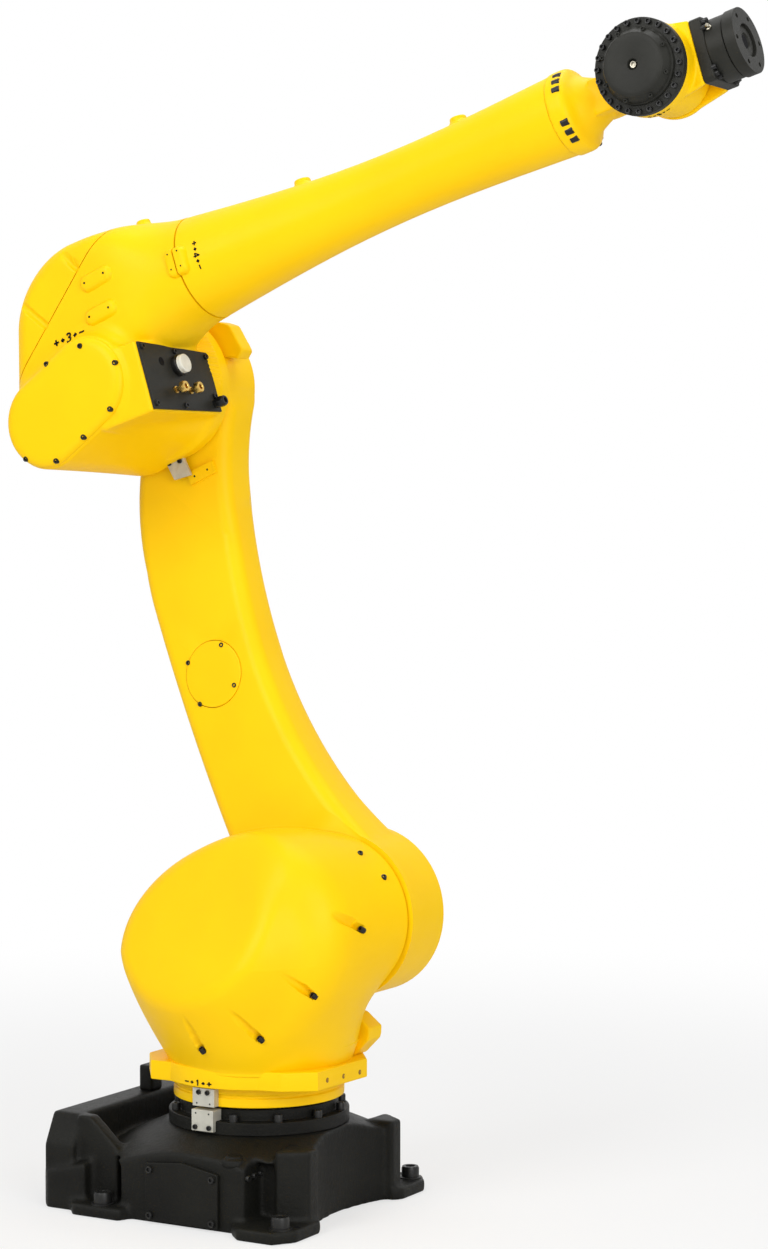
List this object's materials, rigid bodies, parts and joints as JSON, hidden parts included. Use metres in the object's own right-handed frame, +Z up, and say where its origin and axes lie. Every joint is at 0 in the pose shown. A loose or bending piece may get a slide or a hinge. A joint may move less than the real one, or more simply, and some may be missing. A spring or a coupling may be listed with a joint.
{
  "type": "industrial robot arm",
  "caption": "Floor-standing jointed industrial robot arm with a cast foot, domed turret, bowed lower arm, long tapered forearm and compact wrist with a round tool flange.",
  "frame": {"origin": "on the vertical first axis, in the plane of the floor under the foot", "axes": "+Z up along the first axis, +X forward, the way the arm points at rest, +Y to its left"},
  "size_m": [1.583, 0.58, 2.2877],
  "materials": {
    "yellow_paint": "semi-gloss enamel on castings",
    "black_casting": "black painted casting, semi-matt",
    "black_steel": "black machined steel, satin",
    "mark_plate": "satin plate",
    "white_cap": "smooth cap",
    "brass_fitting": "bright"
  },
  "bodies": {
    "base": {"base_casting": "black_casting", "base_side_cover": "black_casting", "base_mark_plate": "mark_plate", "rear_stop_post": "black_casting", "j1_bearing_ring": "black_casting"},
    "turret": {"turret_casting": "yellow_paint", "turret_stop_block": "yellow_paint", "turret_mark_plate": "mark_plate"},
    "lower_arm": {"lower_arm": "yellow_paint", "lower_arm_cover": "yellow_paint", "lower_arm_stop_ear": "yellow_paint", "lower_arm_mark_pad": "yellow_paint"},
    "elbow": {"elbow_casting": "yellow_paint", "elbow_motor_cover": "yellow_paint", "elbow_side_cover": "yellow_paint", "elbow_pad_upper": "yellow_paint", "elbow_pad_lower": "yellow_paint", "elbow_seam_pad": "yellow_paint", "elbow_lifting_boss": "yellow_paint", "elbow_mark_plate": "mark_plate", "connector_panel": "black_steel", "round_connector": "white_cap", "air_fitting_near": "brass_fitting", "air_fitting_far": "brass_fitting", "cable_gland": "black_steel"},
    "forearm": {"forearm_tube": "yellow_paint", "forearm_seam_pad": "yellow_paint", "lifting_boss_rear": "yellow_paint", "lifting_boss_front": "yellow_paint", "wrist_casting": "yellow_paint"},
    "wrist": {"wrist_housing": "yellow_paint", "wrist_cover_near": "black_steel", "wrist_cover_far": "yellow_paint", "wrist_cap": "black_steel", "wrist_plate": "black_steel", "flange_housing": "black_steel"},
    "tool": {"tool_flange": "black_steel"}
  },
  "joints": [
    {"name": "j1_turn", "type": "hinge", "parent": "base", "child": "turret", "pos_m": [0, 0, 0.22], "axis": [0, 0, 1], "range_deg": [-180, 180]},
    {"name": "j2_lower_arm", "type": "hinge", "parent": "turret", "child": "lower_arm", "pos_m": [0.15, 0, 0.58], "axis": [0, 1, 0], "range_deg": [-66.5, 123.5]},
    {"name": "j3_elbow", "type": "hinge", "parent": "lower_arm", "child": "elbow", "pos_m": [-0.30856, 0, 1.63462], "axis": [0, -1, 0], "range_deg": [-70, 200]},
    {"name": "j4_forearm_roll", "type": "hinge", "parent": "elbow", "child": "forearm", "pos_m": [-0.11925, 0, 1.86604], "axis": [0.954, 0, 0.2999], "range_deg": [-360, 360]},
    {"name": "j5_wrist_bend", "type": "hinge", "parent": "forearm", "child": "wrist", "pos_m": [0.87766, 0, 2.17941], "axis": [0, -1, 0], "range_deg": [-125, 125]},
    {"name": "j6_tool_turn", "type": "hinge", "parent": "wrist", "child": "tool", "pos_m": [1.04275, 0, 2.22768], "axis": [0.9598, 0, 0.2807], "range_deg": [-360, 360]}
  ]
}
